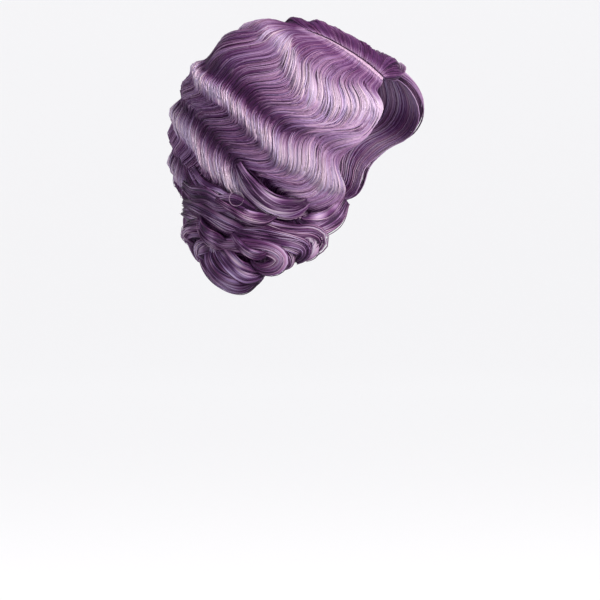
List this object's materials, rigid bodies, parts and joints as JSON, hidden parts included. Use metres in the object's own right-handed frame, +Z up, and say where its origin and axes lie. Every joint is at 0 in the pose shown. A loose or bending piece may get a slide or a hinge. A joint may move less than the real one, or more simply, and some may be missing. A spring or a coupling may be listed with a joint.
{
  "type": "wig",
  "caption": "Short waved wig on a stretch cap: deep side parting, sculpted waves over crown and sides, a swoop over the forehead and loose curls round the nape.",
  "frame": {"origin": "inside of the cap's crown, where the cap sits on the top of the head", "axes": "+X the way the wearer looks, +Y the wearer's left, +Z up"},
  "size_m": [0.2323, 0.1909, 0.2475],
  "materials": {
    "cap_mesh": "matt stretch mesh",
    "parting": "matt, pale lilac",
    "waved_hair": "glossy synthetic fibre, mauve",
    "curled_hair": "glossy synthetic fibre, deeper mauve"
  },
  "bodies": {
    "root": {"cap": "cap_mesh", "parting_strip": "parting", "front_wave_right": "waved_hair", "side_wave_right": "waved_hair", "back_wave": "waved_hair", "side_wave_left": "waved_hair", "front_wave_left": "waved_hair", "curls_right": "curled_hair", "curls_nape": "curled_hair", "curls_left": "curled_hair"}
  },
  "joints": []
}
